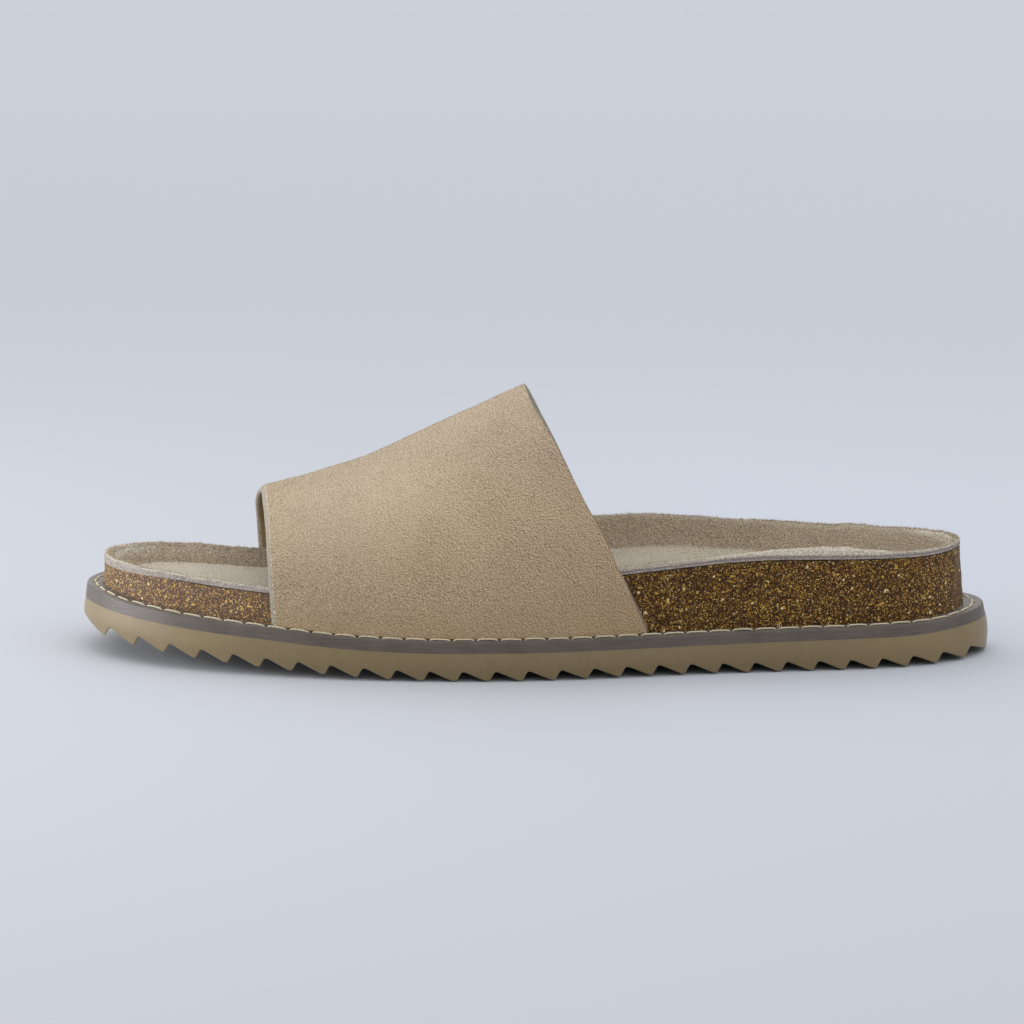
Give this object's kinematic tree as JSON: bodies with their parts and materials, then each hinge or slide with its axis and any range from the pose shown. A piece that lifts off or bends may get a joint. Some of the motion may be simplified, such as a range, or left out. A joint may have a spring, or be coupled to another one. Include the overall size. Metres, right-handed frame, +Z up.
{
  "type": "slide sandal",
  "caption": "Left slide sandal: one broad suede strap over a cork footbed with a suede insole, on a stitched midsole and a saw-tooth rubber outsole.",
  "frame": {"origin": "middle of the footprint on the floor: the centre of the bounding box in X and Y, and the plane of the tread tips in Z", "axes": "+X from toe to heel, +Y to the medial (inner) side of the foot, +Z up"},
  "size_m": [0.2698, 0.102, 0.0784],
  "materials": {
    "outsole": "matt tan moulded rubber",
    "midsole": "matt taupe-grey microcellular sheet, sanded at its edge",
    "footbed": "ground cork, dark binder with golden grains",
    "insole": "pale grey-beige suede with a raised nap and a raw cut edge",
    "strap": "sand-coloured suede, raw edges, smooth olive lining side"
  },
  "bodies": {
    "root": {"outsole": "outsole", "midsole": "midsole", "footbed": "footbed", "insole": "insole", "strap": "strap"}
  },
  "joints": []
}
